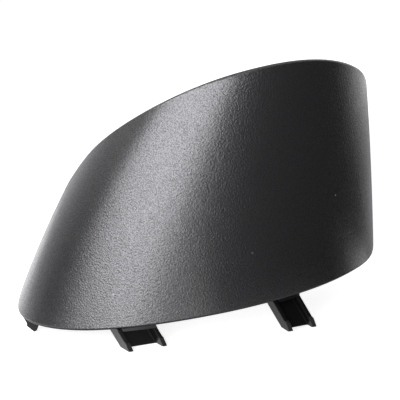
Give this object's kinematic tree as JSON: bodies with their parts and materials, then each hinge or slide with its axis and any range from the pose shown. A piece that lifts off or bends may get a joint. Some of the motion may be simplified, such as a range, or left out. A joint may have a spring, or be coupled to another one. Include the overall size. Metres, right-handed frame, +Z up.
{
  "type": "mirror arm cover",
  "caption": "Curved black grained plastic cover for a vehicle mirror's arm: a thin skewed half-cone shell, open at the back and both ends, with slanted snap clips on its lower rim.",
  "frame": {"origin": "on the plane of the lower rim, midway between the side walls' feet and level with the middle of the shell's depth", "axes": "+X to the right seen from the front, along the longest side; the convex front faces -Y; +Z up, from the clips to the upper rim"},
  "size_m": [0.1508, 0.0997, 0.1109],
  "materials": {
    "cover": "fine grain outside, smooth satin inside and on the clips"
  },
  "bodies": {
    "root": {"arm_cover": "cover"}
  },
  "joints": []
}
